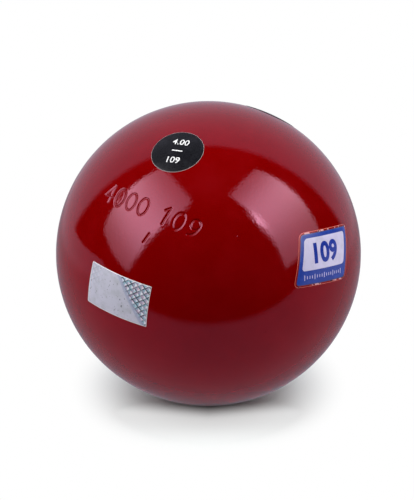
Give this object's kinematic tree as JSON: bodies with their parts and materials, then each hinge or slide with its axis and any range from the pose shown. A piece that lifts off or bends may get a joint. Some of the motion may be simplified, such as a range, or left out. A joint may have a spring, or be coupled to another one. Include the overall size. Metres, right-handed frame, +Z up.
{
  "type": "shot put",
  "caption": "Round turned-iron shot put with a filled core, a flush closing plug, glossy red enamel and film labels.",
  "frame": {"origin": "the ball's lowest point, where it meets a flat floor, below its centre", "axes": "+Z up through the ball's centre; -Y towards the labels, as the picture looks at them; +Y along the axis of the core's mouth and of the closing plug; +X to the right of the picture"},
  "size_m": [0.109, 0.109, 0.109],
  "materials": {
    "red_enamel": "high-gloss deep red enamel with light orange peel, over turned cast iron",
    "plug_enamel": "the same red enamel on the plug's outer end, plain turned steel inside",
    "set_filling": "rough set sand and resin",
    "dull_lead": "dull cast lead",
    "black_label_film": "black film label with plain white numerals",
    "dark_label_film": "dark film label, bare",
    "silver_foil": "silvery embossed foil label with a fine mesh",
    "blue_label_film": "blue and white print under clear film"
  },
  "bodies": {
    "root": {"shell": "red_enamel", "closing_plug": "plug_enamel", "core_filling": "set_filling", "trim_weight": "dull_lead", "round_label": "black_label_film", "top_label": "dark_label_film", "foil_label": "silver_foil", "film_label": "blue_label_film"}
  },
  "joints": []
}
